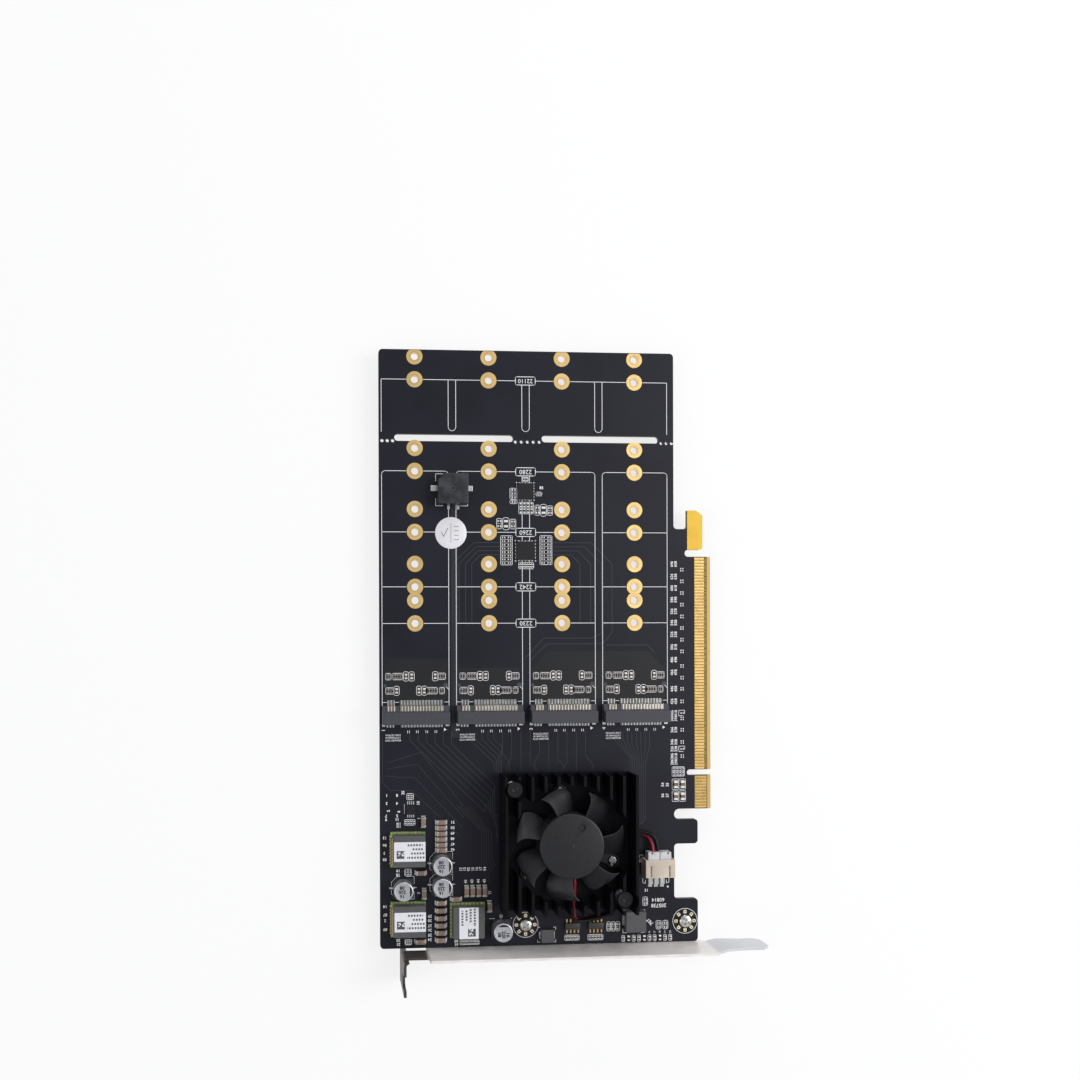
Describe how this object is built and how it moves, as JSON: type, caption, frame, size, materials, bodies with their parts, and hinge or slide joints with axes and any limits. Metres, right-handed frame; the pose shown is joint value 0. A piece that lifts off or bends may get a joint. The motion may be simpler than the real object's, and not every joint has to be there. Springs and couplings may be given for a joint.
{
  "type": "solid-state drive adapter card",
  "caption": "Long expansion card that carries solid-state drive modules on both faces, with a fan-cooled switch chip, a finger edge and a steel slot bracket.",
  "frame": {"origin": "middle of the board's thickness, on the finger edge, at the centre of the key notch", "axes": "+X into the slot, +Y along the card away from the bracket, +Z out of the component side"},
  "size_m": [0.1267, 0.2079, 0.0195],
  "materials": {
    "board_mask": "satin solder mask",
    "gold": "gold plated",
    "chip_package": "moulded",
    "thermal_compound": "matte",
    "black_anodised": "black anodised",
    "black_nylon": "moulded",
    "fan_plastic": "moulded, satin",
    "plated_screw": "nickel plated",
    "electrical_steel": "laminated",
    "magnet": "bonded ferrite",
    "red_sheath": "satin",
    "black_sheath": "satin",
    "white_nylon": "moulded",
    "cream_nylon": "moulded",
    "tin": "solder dipped",
    "black_plastic": "moulded",
    "label_paper": "matte",
    "ceramic_body": "fired",
    "ferrite": "matt grey",
    "green_board": "solder mask",
    "can_aluminium": "bright",
    "nickel_steel": "nickel plated"
  },
  "bodies": {
    "card": {"black_lead": "black_sheath", "bracket": "nickel_steel", "bracket_screws": "plated_screw", "buzzer": "black_plastic", "buzzer_terminals": "tin", "capacitor_base_1": "black_plastic", "capacitor_base_2": "black_plastic", "capacitor_base_3": "black_plastic", "capacitor_base_4": "black_plastic", "capacitor_can_1": "can_aluminium", "capacitor_can_2": "can_aluminium", "capacitor_can_3": "can_aluminium", "capacitor_can_4": "can_aluminium", "ceramic_capacitors": "ceramic_body", "circuit_board": "board_mask", "clock_chip": "chip_package", "control_chip": "chip_package", "edge_contacts": "gold", "fan_base": "fan_plastic", "fan_header": "cream_nylon", "fan_screws": "plated_screw", "header_pins": "tin", "heatsink": "black_anodised", "hook_plating": "gold", "lead_plug": "white_nylon", "m2_socket_1": "black_plastic", "m2_socket_2": "black_plastic", "m2_socket_3": "black_plastic", "m2_socket_4": "black_plastic", "m2_socket_rear_1": "black_plastic", "m2_socket_rear_2": "black_plastic", "m2_socket_rear_3": "black_plastic", "m2_socket_rear_4": "black_plastic", "module_board_1": "green_board", "module_board_2": "green_board", "module_board_3": "green_board", "module_core_1": "ferrite", "module_core_2": "ferrite", "module_core_3": "ferrite", "module_labels": "label_paper", "power_inductor": "ferrite", "push_pins": "black_nylon", "red_lead": "red_sheath", "sensor_chip": "chip_package", "small_inductor": "ferrite", "stator_core": "electrical_steel", "switch_chip": "chip_package", "thermal_pad": "thermal_compound", "transistor_arrays": "chip_package"},
    "fan_rotor": {"fan_impeller": "fan_plastic", "rotor_magnet": "magnet", "fan_shaft": "plated_screw"}
  },
  "joints": [
    {"name": "fan_spin", "type": "hinge", "parent": "card", "child": "fan_rotor", "pos_m": [-0.0503, -0.0214, 0.0105], "axis": [0, 0, 1], "continuous": true}
  ]
}
